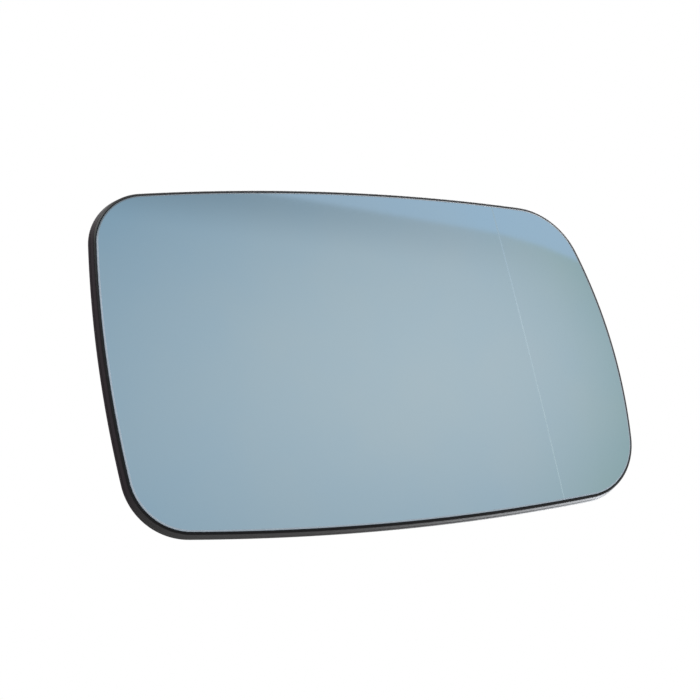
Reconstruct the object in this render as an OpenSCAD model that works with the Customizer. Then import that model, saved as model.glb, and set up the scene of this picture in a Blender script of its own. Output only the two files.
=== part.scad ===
// Right-hand car door mirror glass: a blue-tinted convex glass with an aspheric outer zone,
// bonded with its heater film to a moulded backing plate that clips on to the mirror motor.
// The glass faces -Y, +X points away from the car and +Z is up. The origin is the centre
// of the motor socket's mouth.

/* [Glass] */
// Width of the glass, between the inner and outer sides at their widest
glass_w = 163; // [150:1:180]
// Height of the glass, between the top and bottom sides at their crowns
glass_h = 100; // [92:1:112]
// Thickness of the glass
glass_t = 2; // [1.6:0.1:2.6]
// Radius of the convex main field
field_r = 1260; // [1000:20:1600]
// Distance of the aspheric line from the glass centre
line_x = 49; // [40:1:56]
// Lean of the aspheric line, in degrees, its upper end towards the car
line_lean = 7.5; // [0:0.5:12]
// Width of the first band outside the aspheric line
band_w = 14; // [8:1:18]
// Radius of the first band
band_r = 720; // [560:20:900]
// Radius of the zone beyond the first band
edge_r = 500; // [300:20:540]

/* [Outline] */
// Radius of the long sweep of the top side
top_sweep = 790; // [500:5:1200]
// Place of the top side's crown, outward from the glass centre
top_crown = -13; // [-25:1:5]
// Radius of the long sweep of the outer side
outer_sweep = 151; // [130:5:260]
// Height of the outer side's crown above the glass centre
outer_crown = -22; // [-26:1:-12]
// Radius of the long sweep of the bottom side
bottom_sweep = 665; // [500:5:1200]
// Place of the bottom side's crown, outward from the glass centre
bottom_crown = -31; // [-40:1:-10]
// Radius of the long sweep of the inner side
inner_sweep = 330; // [250:5:600]
// Height of the inner side's crown above the glass centre
inner_crown = 22; // [8:1:28]
// Radius of the corner between the top and outer sides
top_outer_corner = 21; // [16:0.5:26]
// Radius of the corner between the outer and bottom sides
bottom_outer_corner = 18; // [14:0.5:22]
// Radius of the corner between the bottom and inner sides
bottom_inner_corner = 17.5; // [14:0.5:22]
// Radius of the corner between the inner and top sides
top_inner_corner = 14.5; // [12:0.5:20]

/* [Heater film] */
// Thickness of the heater film with its adhesive
film_t = 0.3; // [0.2:0.05:0.5]
// Distance of the film's edge inside the glass edge
film_inset = 2.5; // [1:0.5:6]
// Bond line on each side of the film
bond = 0.05; // [0.02:0.01:0.1]

/* [Backing plate] */
// Gap between the glass edge and the rim
glass_gap = 0.2; // [0.1:0.05:0.5]
// Thickness of the rim wall at its front edge
rim_wall = 0.7; // [0.6:0.05:2]
// How much wider the rim is at its rear edge
rim_flare = 0.7; // [0.2:0.05:1.2]
// Number of steps that the flare is made in
rim_steps = 4; // [2:1:6]
// Depth of the rim's front edge below the glass face
rim_drop = 0.35; // [0.2:0.05:0.9]
// How far the rim's rear edge stands behind the floor
rim_skirt = 0.2; // [0.1:0.1:2]
// Thickness of the plate's floor
floor_t = 1.8; // [1.4:0.1:2.4]
// Thickness of the stiffening ribs
rib_t = 1.5; // [1:0.1:2]
// Height of the ribs behind the floor
rib_h = 2.5; // [1.5:0.1:3]
// Distance of the rib frame inside the glass edge
rib_inset = 8; // [5:0.5:10]
// Number of radial ribs
rib_count = 12; // [12:12:24]
// Reach of the gussets beyond the socket collar
gusset_l = 9; // [4:0.5:11]
// Thickness of the wall round each terminal window
window_wall = 1.5; // [1:0.1:2]

/* [Motor socket] */
// Distance of the glass centre outward from the socket's axis
glass_shift = 2; // [-4:1:5]
// Inner radius of the socket's guide wall
socket_r = 30; // [28:0.5:32]
// Depth of the guide wall from the mouth
guide_l = 5; // [4:0.25:5.5]
// Relief of the bore behind the guide wall, on the radius
relief = 0.5; // [0.2:0.1:0.8]
// Thickness of the collar round the guide wall
collar_wall = 2.4; // [2:0.1:3]
// Height of the collar from the floor to the mouth
collar_h = 12; // [11.5:0.25:14]
// Break of the collar's outer edge at the mouth
collar_break = 0.6; // [0.3:0.1:0.9]
// Width of the two key notches in the mouth
key_w = 4; // [3:0.5:6]
// Depth of the key notches
key_l = 3; // [2:0.25:3.5]

/* [Retaining ring] */
// Diameter of the spring wire
wire_d = 1.4; // [1:0.1:1.6]
// Land between the guide wall and the slots that the wire passes through
slot_land = 0.5; // [0.3:0.1:0.9]
// How far each straight run of the wire stands into the bore
catch = 1; // [0.6:0.1:1.3]
// Radial clearance between the wire and the collar
wire_gap = 0.05; // [0.02:0.01:0.1]
// Clearance of the collar's slots round the wire
slot_gap = 0.2; // [0.1:0.05:0.3]
// Gap between the slots and the gussets behind them
gusset_gap = 0.2; // [0.1:0.05:0.5]
// Half the opening between the wire's two ends, in degrees
open_half = 6; // [5:1:12]
// Length of the finger ends of the wire
ear_l = 6; // [4:0.5:8]

/* [Heater terminals] */
// Distance of the terminals inward from the glass centre
terminal_x = 50; // [46:1:56]
// Distance between the two terminals
terminal_pitch = 19; // [17:1:24]
// Width of the terminal blade
blade_w = 6.3; // [4.8:0.1:6.3]
// Thickness of the terminal strip
blade_t = 0.8; // [0.5:0.1:0.8]
// Length of the blade behind the foot
blade_l = 8; // [6:0.5:8]
// Diameter of the detent hole in the blade
detent_d = 1.7; // [1.4:0.1:2]
// Distance of the detent hole from the blade's tip
detent_at = 4.3; // [3.5:0.1:4.6]
// Length of the foot across the blade
foot_l = 7; // [6:0.5:8]
// Clearance of the window in the floor round the foot
window_gap = 1.5; // [1:0.1:1.6]
// Diameter of the rivet's shank
rivet_d = 2.2; // [1.8:0.1:2.6]
// Diameter of the rivet's head
rivet_head_d = 3.8; // [3.4:0.1:4.2]
// Height of the rivet's head
rivet_head_t = 0.5; // [0.3:0.1:0.8]
// Running clearance round the rivet's shank
rivet_gap = 0.05; // [0.02:0.01:0.1]

/* [Hidden] */
$fn = 200;

glass_blue = [0.60, 0.71, 0.76];
film_amber = [0.55, 0.36, 0.14];
plate_black = [0.10, 0.10, 0.10];
spring_steel = [0.62, 0.62, 0.64];
tinned_brass = [0.78, 0.76, 0.70];
rivet_brass = [0.72, 0.58, 0.30];

// Allowance by which a cutting solid passes the face it cuts
pass = 1;
// Reach of the construction solids beyond the glass
far = 60;
// Hair by which a tangent arc stands proud of its neighbour, so that the two cross cleanly
proud = 0.002;
// How much fuller the ring's bends are than its wire
bend_fuller = 0.02;

// Depths below the glass face, measured square to it
film_top = glass_t + bond;
film_bottom = film_top + film_t;
floor_top = film_bottom + bond;
floor_mid = floor_top + floor_t / 2;
floor_bottom = floor_top + floor_t;
rim_bottom = floor_bottom + rim_skirt;
// Height of the glass face above the socket's mouth
face_z = collar_h + floor_bottom;

rim_front = glass_gap + rim_wall;
collar_r = socket_r + collar_wall;
// Depth of the wire's centre from the mouth
wire_at = guide_l + slot_land + slot_gap + wire_d / 2;
// Radius of the wire's arcs, and distance of its straight runs from the axis
arc_r = collar_r + wire_gap + wire_d / 2;
run_r = socket_r - catch + wire_d / 2;
run_half = acos(run_r / arc_r);
slot_r = run_r - wire_d / 2 - slot_gap;
// Directions of the three straight runs and of the opening between the wire's ends
runs = [90, 210, 330];
opening = 270;
blade_bevel = blade_w / 8;

// The four long sides, clockwise from the top, as [centre, radius]
sides = [[[top_crown, glass_h / 2 - top_sweep], top_sweep],
         [[glass_w / 2 - outer_sweep, outer_crown], outer_sweep],
         [[bottom_crown, bottom_sweep - glass_h / 2], bottom_sweep],
         [[inner_sweep - glass_w / 2, inner_crown], inner_sweep]];
// The corner after each side
corner_r = [top_outer_corner, bottom_outer_corner, bottom_inner_corner, top_inner_corner];
corner_c = [for (i = [0:3]) corner_between(sides[i], sides[(i + 1) % 4], corner_r[i])];

// The zones beyond the aspheric line, in section across it: [distance from the axis, place along it]
line_a = asin(line_x / field_r);
band_c = (field_r - band_r) * heading(line_a);
band_a = asin((line_x + band_w - band_c[1]) / band_r);
edge_c = band_c + (band_r - edge_r) * heading(band_a);
sweep_half = asin((glass_h / 2 + far) / field_r);

function heading(a) = [cos(a), sin(a)];
function unit(v) = v / norm(v);

// Centre of the corner circle that touches two neighbouring sides from inside
function corner_between(a, b, r) =
    let (ra = a[1] - r,
         rb = b[1] - r,
         gap = norm(b[0] - a[0]),
         e = (b[0] - a[0]) / gap,
         along = (ra * ra - rb * rb + gap * gap) / (2 * gap),
         aside = sqrt(ra * ra - along * along))
    a[0] + along * e + aside * [e[1], -e[0]];

// Direction square to a side, at the corner centre next to it
function square_to(side, c) = unit(c - side[0]);

// Outline of the glass, grown by g: the space inside the four sides, less what lies outside the corners
module outline(g = 0) {
    difference() {
        intersection_for (side = sides) translate(side[0]) circle(side[1] + g);
        for (i = [0:3]) {
            c = corner_c[i];
            here = square_to(sides[i], c);
            next = square_to(sides[(i + 1) % 4], c);
            difference() {
                polygon([c, c + far * next, c + 2 * far * unit(here + next), c + far * here]);
                translate(c) circle(corner_r[i] + g + proud);
            }
        }
    }
}

module prism(g = 0) {
    translate([0, 0, -far]) linear_extrude(height = 3 * far) outline(g);
}

// What a zone of radius r takes off beyond the distance x, turned about the main field's axis
module beyond(x, centre, r) {
    rotate([0, 0, 180 + line_lean]) rotate([0, -90, 0])
        rotate_extrude(angle = 2 * sweep_half, start = -sweep_half) difference() {
            translate([field_r - far, x]) square([2 * far, glass_w - x]);
            translate(centre) circle(r);
        }
}

// Everything that lies deeper than t below the curved glass face
module under(t) {
    translate([0, 0, face_z - field_r]) difference() {
        rotate([90, 0, 0]) sphere(field_r - t);
        beyond(line_x, band_c, band_r - t + proud);
        beyond(line_x + band_w, edge_c, edge_r - t + 2 * proud);
    }
}

// A layer with the outline grown by g, between two depths
module layer(g, top, bottom) {
    intersection() {
        prism(g);
        difference() {
            under(top);
            under(bottom);
        }
    }
}

// Moves a piece drawn about the glass centre, face up, into the car's directions
module in_car() {
    rotate([90, 0, 0]) translate([glass_shift, 0, 0]) children();
}

// Moves a piece drawn about the socket's axis to its place behind the glass
module at_socket() {
    translate([-glass_shift, 0, 0]) children();
}

module at_terminal(side) {
    translate([-terminal_x, side * terminal_pitch / 2, 0]) children();
}

// Puts a piece's zero plane at depth t below the glass face, square to the face at a terminal
module on_film(side, t) {
    translate([0, 0, face_z - field_r])
        rotate([-asin(side * terminal_pitch / 2 / field_r), -asin(terminal_x / field_r), 0])
            translate([0, 0, field_r - t]) children();
}

module mirror_glass() {
    color(glass_blue) in_car() layer(0, 0, glass_t);
}

module rivet_hole(side) {
    on_film(side, film_bottom + blade_t + pass) cylinder(h = film_bottom + blade_t + 2 * pass,
                                                         d = rivet_d + 2 * rivet_gap);
}

module heater_film() {
    color(film_amber) in_car() difference() {
        layer(-film_inset, film_top, film_bottom);
        for (side = [-1, 1]) rivet_hole(side);
    }
}

// The tray that holds the glass: a rim that flares in steps, and the curved floor
module tray() {
    difference() {
        for (i = [0:rim_steps - 1])
            layer(rim_front + rim_flare * i / (rim_steps - 1),
                  rim_drop + (rim_bottom - rim_drop) * i / rim_steps, rim_bottom);
        difference() {
            prism(glass_gap);
            under(floor_top);
        }
        intersection() {
            prism(glass_gap);
            under(floor_bottom);
        }
    }
}

module ribs() {
    intersection() {
        linear_extrude(height = face_z) {
            difference() {
                outline(-rib_inset);
                outline(-rib_inset - rib_t);
            }
            intersection() {
                outline(-rib_inset - rib_t / 2);
                at_socket() difference() {
                    for (i = [0:rib_count - 1]) rotate(i * 360 / rib_count)
                        translate([0, -rib_t / 2]) square([glass_w, rib_t]);
                    circle(collar_r - collar_wall / 2);
                }
            }
        }
        difference() {
            under(floor_mid);
            under(floor_bottom + rib_h);
        }
    }
}

// Webs that brace the collar, clear of the retaining ring
module gussets() {
    tip_z = wire_at + wire_d / 2 + slot_gap + gusset_gap;
    intersection() {
        at_socket() for (i = [0:rib_count - 1]) rotate([90, 0, i * 360 / rib_count])
            translate([0, 0, -rib_t / 2]) linear_extrude(height = rib_t)
                polygon([[collar_r - collar_wall / 2, tip_z], [collar_r + rib_t, tip_z],
                         [collar_r + gusset_l, collar_h], [collar_r + gusset_l, face_z],
                         [collar_r - collar_wall / 2, face_z]]);
        under(floor_mid);
    }
}

module collar() {
    intersection() {
        at_socket() {
            cylinder(h = collar_break, r1 = collar_r - collar_break, r2 = collar_r);
            translate([0, 0, collar_break]) cylinder(h = face_z, r = collar_r);
        }
        under(floor_mid);
    }
}

// The bore, its notches and the three slots that the retaining ring passes through
module socket_cuts() {
    translate([0, 0, -pass]) cylinder(h = guide_l + 2 * pass, r = socket_r);
    translate([0, 0, guide_l]) cylinder(h = face_z, r = socket_r + relief);
    for (a = [0, 180]) rotate(a) translate([socket_r - pass, -key_w / 2, -pass])
        cube([collar_wall + 2 * pass, key_w, key_l + pass]);
    for (a = runs) rotate(a)
        translate([slot_r, -collar_r, wire_at - wire_d / 2 - slot_gap])
            cube([collar_r, 2 * collar_r, wire_d + 2 * slot_gap]);
}

module window(g) {
    w = foot_l + 2 * g;
    h = blade_w + 2 * g;
    translate([-w / 2, -h / 2, 0]) cube([w, h, face_z + pass]);
}

module backing_plate() {
    color(plate_black) in_car() difference() {
        union() {
            tray();
            ribs();
            difference() {
                union() {
                    collar();
                    gussets();
                }
                intersection() {
                    at_socket() socket_cuts();
                    under(floor_bottom);
                }
            }
            intersection() {
                for (side = [-1, 1]) at_terminal(side) window(window_gap + window_wall);
                difference() {
                    under(floor_mid);
                    under(floor_bottom + rib_h);
                }
            }
        }
        for (side = [-1, 1]) at_terminal(side) window(window_gap);
    }
}

module bend() {
    translate([arc_r, 0, 0]) sphere(d = wire_d + bend_fuller);
}

module wire_arc(from, to) {
    rotate(from) rotate_extrude(angle = to - from) translate([arc_r, 0]) circle(d = wire_d);
}

module retaining_ring() {
    run_l = 2 * arc_r * sin(run_half);
    color(spring_steel) in_car() at_socket() translate([0, 0, wire_at]) {
        for (a = runs) {
            rotate(a) translate([run_r, 0, 0]) rotate([90, 0, 0])
                cylinder(h = run_l, d = wire_d, center = true);
            for (s = [-1, 1]) rotate(a + s * run_half) bend();
        }
        wire_arc(runs[0] + run_half, runs[1] - run_half);
        wire_arc(runs[1] + run_half, opening - open_half);
        wire_arc(opening + open_half, runs[2] - run_half);
        wire_arc(runs[2] + run_half, runs[0] + 360 - run_half);
        for (s = [-1, 1]) rotate(opening + s * open_half) {
            bend();
            translate([arc_r, 0, 0]) rotate([0, 90, 0]) cylinder(h = ear_l, d = wire_d);
        }
    }
}

// Side view of the blade, from the foot to its bevelled tip
module blade() {
    translate([-foot_l / 2, 0, 0]) rotate([90, 0, 90]) linear_extrude(height = blade_t) difference() {
        polygon([[-blade_w / 2, 0], [-blade_w / 2, blade_bevel - blade_t - blade_l],
                 [blade_bevel - blade_w / 2, -blade_t - blade_l],
                 [blade_w / 2 - blade_bevel, -blade_t - blade_l],
                 [blade_w / 2, blade_bevel - blade_t - blade_l], [blade_w / 2, 0]]);
        translate([0, detent_at - blade_t - blade_l]) circle(d = detent_d);
    }
}

// A blade that stands behind the plate on a foot riveted to the heater film
module terminal(side) {
    color(tinned_brass) in_car() difference() {
        on_film(side, film_bottom + bond) {
            translate([-foot_l / 2, -blade_w / 2, -blade_t]) cube([foot_l, blade_w, blade_t]);
            blade();
        }
        rivet_hole(side);
    }
}

module terminal_upper() {
    terminal(1);
}

module terminal_lower() {
    terminal(-1);
}

module terminal_rivets() {
    stack = film_t + bond + blade_t;
    color(rivet_brass) in_car() for (side = [-1, 1]) on_film(side, film_top) {
        translate([0, 0, -stack - rivet_head_t]) cylinder(h = rivet_head_t, d = rivet_head_d);
        translate([0, 0, -stack]) cylinder(h = stack, d = rivet_d);
    }
}

mirror_glass();
heater_film();
backing_plate();
retaining_ring();
terminal_upper();
terminal_lower();
terminal_rivets();
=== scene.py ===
"""Looks of a right-hand car door mirror glass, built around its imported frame.

The part is a blue-tinted convex glass with an aspheric outer zone, in a black moulded plate that
clips on to the mirror's motor. The glass faces -Y, +X points away from the car and +Z is up.
Sizes are in millimetres, and the glass's own axes are x outward, y up and z towards the viewer.
"""
import logging
import math
from dataclasses import dataclass
from enum import Enum, IntEnum
from typing import Iterable, Sequence

import bmesh
import bpy
from mathutils import Matrix, Vector


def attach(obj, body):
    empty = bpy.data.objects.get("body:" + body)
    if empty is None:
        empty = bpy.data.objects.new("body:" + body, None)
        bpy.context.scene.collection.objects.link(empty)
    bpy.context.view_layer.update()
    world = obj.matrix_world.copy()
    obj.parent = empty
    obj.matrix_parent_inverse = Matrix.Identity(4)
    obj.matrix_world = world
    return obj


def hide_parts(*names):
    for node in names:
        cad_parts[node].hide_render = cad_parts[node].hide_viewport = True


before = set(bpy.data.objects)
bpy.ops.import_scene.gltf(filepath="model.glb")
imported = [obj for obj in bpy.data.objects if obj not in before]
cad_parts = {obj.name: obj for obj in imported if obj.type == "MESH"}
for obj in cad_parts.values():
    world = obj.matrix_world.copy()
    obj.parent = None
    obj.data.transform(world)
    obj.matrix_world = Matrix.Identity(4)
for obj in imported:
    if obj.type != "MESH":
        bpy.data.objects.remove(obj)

LOG = logging.getLogger("door_mirror_glass")
TURN = 2.0 * math.pi
STAND_UP = Matrix.Rotation(math.radians(90.0), 4, "X")
ROUND_SIDES = 40

Span = tuple[float, float]
Place = tuple[float, float, float]
Profile = Sequence[Span]


def metres(length: float) -> float:
    """Turns millimetres into metres."""
    return length * 0.001


def per_mm(pitch: float) -> float:
    """Turns a pattern's pitch in millimetres into a texture scale over metres."""
    return 1.0 / metres(pitch)


def heading(angle: float) -> Vector:
    """Gives the flat direction at an angle in radians."""
    return Vector((math.cos(angle), math.sin(angle)))


def arc_points(
    centre: Vector, radius: float, start: float, end: float, count: int
) -> list[Vector]:
    """Spaces points evenly along an arc, both ends included.

    Args:
        centre: The arc's centre.
        radius: Its radius.
        start: Direction of its first point, in degrees.
        end: Direction of its last point, in degrees.
        count: Number of points.

    Returns:
        The points, in order.
    """
    steps = [math.radians(start + (end - start) * i / (count - 1)) for i in range(count)]
    return [centre + radius * heading(angle) for angle in steps]


def rectangle(across: Span, up: Span) -> list[Vector]:
    """Gives a rectangle's corners, anticlockwise from the lower left."""
    return [
        Vector((across[0], up[0])), Vector((across[1], up[0])),
        Vector((across[1], up[1])), Vector((across[0], up[1])),
    ]


@dataclass(frozen=True)
class Sweep:
    """One long side of the outline, an arc of a large circle."""

    centre: Vector
    radius: float

    def towards(self, point: Vector) -> float:
        """Gives the direction from the arc's centre to a point, in radians."""
        away = point - self.centre
        return math.atan2(away.y, away.x)


@dataclass(frozen=True)
class GlassOutline:
    """The outline of the glass: four long sweeps joined by four corner arcs."""

    width: float = 163.0
    height: float = 100.0
    top_sweep: float = 790.0
    top_crown: float = -13.0
    outer_sweep: float = 151.0
    outer_crown: float = -22.0
    bottom_sweep: float = 665.0
    bottom_crown: float = -31.0
    inner_sweep: float = 330.0
    inner_crown: float = 22.0
    corner_radii: tuple[float, ...] = (21.0, 18.0, 17.5, 14.5)
    side_step: float = 2.5
    corner_step: float = 1.0

    def sides(self) -> list[Sweep]:
        """Gives the four sides, clockwise from the top."""
        half_w = self.width / 2
        half_h = self.height / 2
        return [
            Sweep(Vector((self.top_crown, half_h - self.top_sweep)), self.top_sweep),
            Sweep(Vector((half_w - self.outer_sweep, self.outer_crown)), self.outer_sweep),
            Sweep(Vector((self.bottom_crown, self.bottom_sweep - half_h)), self.bottom_sweep),
            Sweep(Vector((self.inner_sweep - half_w, self.inner_crown)), self.inner_sweep),
        ]

    def corner_centre(self, before: Sweep, after: Sweep, radius: float) -> Vector:
        """Finds the centre of the corner arc that touches two sides from inside.

        Args:
            before: The side that the corner follows.
            after: The side that it leads to.
            radius: The corner's radius.

        Returns:
            The centre of the corner arc.
        """
        near = before.radius - radius
        far = after.radius - radius
        between = after.centre - before.centre
        gap = between.length
        along = between / gap
        reach = (near * near - far * far + gap * gap) / (2 * gap)
        aside = math.sqrt(near * near - reach * reach)
        return before.centre + reach * along + aside * Vector((along.y, -along.x))

    def ring(self, grow: float) -> list[Vector]:
        """Walks round the outline, grown by a distance, anticlockwise seen from the front.

        Every ring has the same number of points in the same directions, so that two rings can be
        joined.

        Args:
            grow: Distance outside the glass edge, or inside it if negative.

        Returns:
            The points of the ring, without a repeated end point.
        """
        sides = self.sides()
        count = len(sides)
        centres = [
            self.corner_centre(side, sides[(i + 1) % count], self.corner_radii[i])
            for i, side in enumerate(sides)
        ]
        points = []
        for i, side in enumerate(sides):
            corner = Sweep(centres[i], self.corner_radii[i])
            after = sides[(i + 1) % count]
            start = side.towards(centres[i - 1])
            meet = side.towards(centres[i])
            end = after.towards(centres[i])
            points += self.walk(side, start, meet, grow, self.side_step)
            points += self.walk(corner, meet, end, grow, self.corner_step)
        points.reverse()
        return points

    @staticmethod
    def walk(arc: Sweep, start: float, end: float, grow: float, step: float) -> list[Vector]:
        """Spaces points along one arc, clockwise, leaving out its last point."""
        turn = (start - end) % TURN
        count = max(2, round(turn * arc.radius / step))
        ways = [heading(start - turn * i / count) for i in range(count)]
        return [arc.centre + (arc.radius + grow) * way for way in ways]

    def reach(self, origin: Vector, angle: float, grow: float) -> float:
        """Measures how far a straight line runs before it crosses the grown outline.

        Args:
            origin: A point inside the outline.
            angle: The line's direction, in radians.
            grow: Distance of the ring outside the glass edge.

        Returns:
            The distance from the origin to the ring.
        """
        along = heading(angle)
        aside = Vector((-along.y, along.x))
        ring = self.ring(grow)
        for here, there in zip(ring, ring[1:] + ring[:1]):
            low = (here - origin).dot(aside)
            high = (there - origin).dot(aside)
            if low * high <= 0.0 and (here - origin).dot(along) > 0.0:
                share = low / (low - high)
                return (here + share * (there - here) - origin).dot(along)
        raise ValueError("the line starts outside the outline")


@dataclass(frozen=True)
class MirrorSurface:
    """The bent face of the glass: a large sphere that tightens beyond the aspheric line."""

    face_z: float = 16.2
    field_radius: float = 1260.0
    line_x: float = 49.0
    line_lean: float = 7.5
    band_width: float = 14.0
    band_radius: float = 720.0
    edge_radius: float = 500.0

    def across(self) -> Vector:
        """Gives the flat direction square to the aspheric line."""
        return heading(math.radians(self.line_lean))

    def height(self, x: float, y: float, depth: float = 0.0) -> float:
        """Gives the z of the point at x and y on the face, or on a layer below it.

        Args:
            x: Distance outward from the glass centre.
            y: Distance above the glass centre.
            depth: Distance of the layer below the face.

        Returns:
            The height above the socket's mouth.
        """
        across = self.across()
        out = x * across.x + y * across.y
        along = y * across.x - x * across.y
        section = math.sqrt((self.field_radius - depth) ** 2 - out * out)
        line_turn = math.asin(self.line_x / self.field_radius)
        band = (self.field_radius - self.band_radius) * heading(line_turn)
        band_turn = math.asin((self.line_x + self.band_width - band.y) / self.band_radius)
        edge = band + (self.band_radius - self.edge_radius) * heading(band_turn)
        if out > (self.field_radius - depth) * math.sin(line_turn):
            section = band.x + math.sqrt((self.band_radius - depth) ** 2 - (out - band.y) ** 2)
        if out > edge.y + (self.edge_radius - depth) * math.sin(band_turn):
            section = edge.x + math.sqrt((self.edge_radius - depth) ** 2 - (out - edge.y) ** 2)
        return self.face_z - self.field_radius + math.sqrt(section * section - along * along)

    def point(self, flat: Vector, depth: float) -> Vector:
        """Lifts a flat point on to a layer below the face."""
        return Vector((flat.x, flat.y, self.height(flat.x, flat.y, depth)))

    def normal(self, x: float, y: float) -> Vector:
        """Gives the direction square to the face at x and y."""
        nudge = 0.05
        slope_x = (self.height(x + nudge, y) - self.height(x - nudge, y)) / (2 * nudge)
        slope_y = (self.height(x, y + nudge) - self.height(x, y - nudge)) / (2 * nudge)
        return Vector((-slope_x, -slope_y, 1.0)).normalized()

    def seat(self, x: float, y: float, depth: float) -> Matrix:
        """Gives the place of a flat piece that lies square to the field at x and y.

        Args:
            x: Distance of the piece outward from the glass centre.
            y: Distance of the piece above the glass centre.
            depth: Depth of its zero plane below the face.

        Returns:
            The matrix from the piece's own axes to the glass's axes.
        """
        pitch = Matrix.Rotation(-math.asin(y / self.field_radius), 4, "X")
        yaw = Matrix.Rotation(math.asin(x / self.field_radius), 4, "Y")
        centre = Matrix.Translation((0.0, 0.0, self.face_z - self.field_radius))
        return centre @ yaw @ pitch @ Matrix.Translation((0.0, 0.0, self.field_radius - depth))


@dataclass(frozen=True)
class GlassAxes:
    """Turns points from the glass's own axes, in millimetres, to the car's, in metres."""

    shift: float = 2.0

    def matrix(self) -> Matrix:
        """Gives the whole change of axes and units."""
        shift = Matrix.Translation((self.shift, 0.0, 0.0))
        return Matrix.Scale(metres(1.0), 4) @ STAND_UP @ shift

    def direction(self, vector: Vector) -> Vector:
        """Turns a direction without moving or scaling it."""
        return Vector((vector.x, -vector.z, vector.y))


OUTLINE = GlassOutline()
SURFACE = MirrorSurface()
AXES = GlassAxes()


class Joining(Enum):
    """How one closed shape is combined with others."""

    UNION = "UNION"
    DIFFERENCE = "DIFFERENCE"


class MeshDraft:
    """Collects one closed shape in the glass's own axes, in millimetres."""

    def __init__(self) -> None:
        """Starts with nothing drawn."""
        self.mesh = bmesh.new()

    def add_ring(self, points: Iterable[Vector]) -> list[bmesh.types.BMVert]:
        """Adds a row of vertices."""
        return [self.mesh.verts.new(point) for point in points]

    def join(
        self,
        first: Sequence[bmesh.types.BMVert],
        second: Sequence[bmesh.types.BMVert],
        slot: int = 0,
    ) -> None:
        """Fills the strip between two closed rows with quads.

        Args:
            first: One closed row.
            second: The next closed row, with as many vertices.
            slot: Index of the strip's material.
        """
        count = len(first)
        for i in range(count):
            after = (i + 1) % count
            face = self.mesh.faces.new((first[i], first[after], second[after], second[i]))
            face.material_index = slot

    def fan(self, row: Sequence[bmesh.types.BMVert], middle: Vector, slot: int = 0) -> None:
        """Closes a row with triangles about a middle point."""
        apex = self.mesh.verts.new(middle)
        for i, vert in enumerate(row):
            face = self.mesh.faces.new((vert, row[(i + 1) % len(row)], apex))
            face.material_index = slot

    def cap(self, row: Sequence[bmesh.types.BMVert]) -> None:
        """Closes a row with one flat face."""
        self.mesh.faces.new(row)

    def loft(self, rows: Sequence[Iterable[Vector]], closed: bool = False) -> None:
        """Joins rows of points into a tube, capped at both ends unless it closes on itself.

        Args:
            rows: The rows, each a closed loop with as many points as the others.
            closed: Whether the last row joins the first.
        """
        made = [self.add_ring(row) for row in rows]
        for first, second in zip(made, made[1:]):
            self.join(first, second)
        if closed:
            self.join(made[-1], made[0])
        else:
            self.cap(made[0])
            self.cap(made[-1])

    def extrude(self, shape: Sequence[Vector], low: float, high: float) -> None:
        """Draws a straight prism over a flat shape, between two heights."""
        self.loft([[Vector((p.x, p.y, z)) for p in shape] for z in (low, high)])

    def lathe(self, shape: Profile, sides: int) -> None:
        """Turns a closed shape about the z axis.

        Args:
            shape: Points (radius, z), all away from the axis.
            sides: Number of steps in the turn.
        """
        rows = []
        for i in range(sides):
            out = heading(TURN * i / sides)
            rows.append([Vector((r * out.x, r * out.y, z)) for r, z in shape])
        self.loft(rows, closed=True)

    def turned(self, shape: Profile, sides: int) -> None:
        """Turns an open shape about the z axis and closes it at both ends.

        Args:
            shape: Points (radius, z) from one end to the other.
            sides: Number of steps in the turn.
        """
        ways = [heading(TURN * i / sides) for i in range(sides)]
        self.loft([[Vector((r * way.x, r * way.y, z)) for way in ways] for r, z in shape])

    def break_edges(self, width: float, least_angle: float = 30.0) -> None:
        """Rounds every sharp edge a little.

        Args:
            width: Width of the rounding.
            least_angle: Angle in degrees above which an edge is sharp.
        """
        limit = math.radians(least_angle)
        bmesh.ops.recalc_face_normals(self.mesh, faces=self.mesh.faces[:])
        inner = [edge for edge in self.mesh.edges if len(edge.link_faces) == 2]
        sharp = [edge for edge in inner if edge.calc_face_angle() > limit]
        bmesh.ops.bevel(
            self.mesh, geom=sharp, offset=width, offset_type="OFFSET", segments=2, profile=0.5,
            affect="EDGES", clamp_overlap=True,
        )

    def place(self, matrix: Matrix) -> None:
        """Moves everything drawn so far."""
        self.mesh.transform(matrix)

    def piece(self, name: str) -> bpy.types.Object:
        """Makes a Blender object of the shape, in the car's axes and in metres.

        Args:
            name: The object's name.

        Returns:
            The object, linked to the scene.
        """
        bmesh.ops.recalc_face_normals(self.mesh, faces=self.mesh.faces[:])
        self.mesh.transform(AXES.matrix())
        data = bpy.data.meshes.new(name)
        self.mesh.to_mesh(data)
        self.mesh.free()
        made = bpy.data.objects.new(name, data)
        bpy.context.scene.collection.objects.link(made)
        return made


def combine(target: bpy.types.Object, tools: Sequence[bpy.types.Object], how: Joining) -> None:
    """Adds closed shapes to a piece, or cuts them from it, and removes them.

    Args:
        target: The piece to change.
        tools: The shapes that are added or cut away.
        how: Whether they are added or cut away.
    """
    group = bpy.data.collections.new("combining")
    for tool in tools:
        group.objects.link(tool)
    step = target.modifiers.new("combine", "BOOLEAN")
    step.operand_type = "COLLECTION"
    step.collection = group
    step.operation = how.value
    step.solver = "MANIFOLD"
    graph = bpy.context.evaluated_depsgraph_get()
    made = bpy.data.meshes.new_from_object(target.evaluated_get(graph), depsgraph=graph)
    target.modifiers.clear()
    old = target.data
    target.data = made
    bpy.data.meshes.remove(old)
    for tool in tools:
        bpy.data.objects.remove(tool)
    bpy.data.collections.remove(group)


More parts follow.
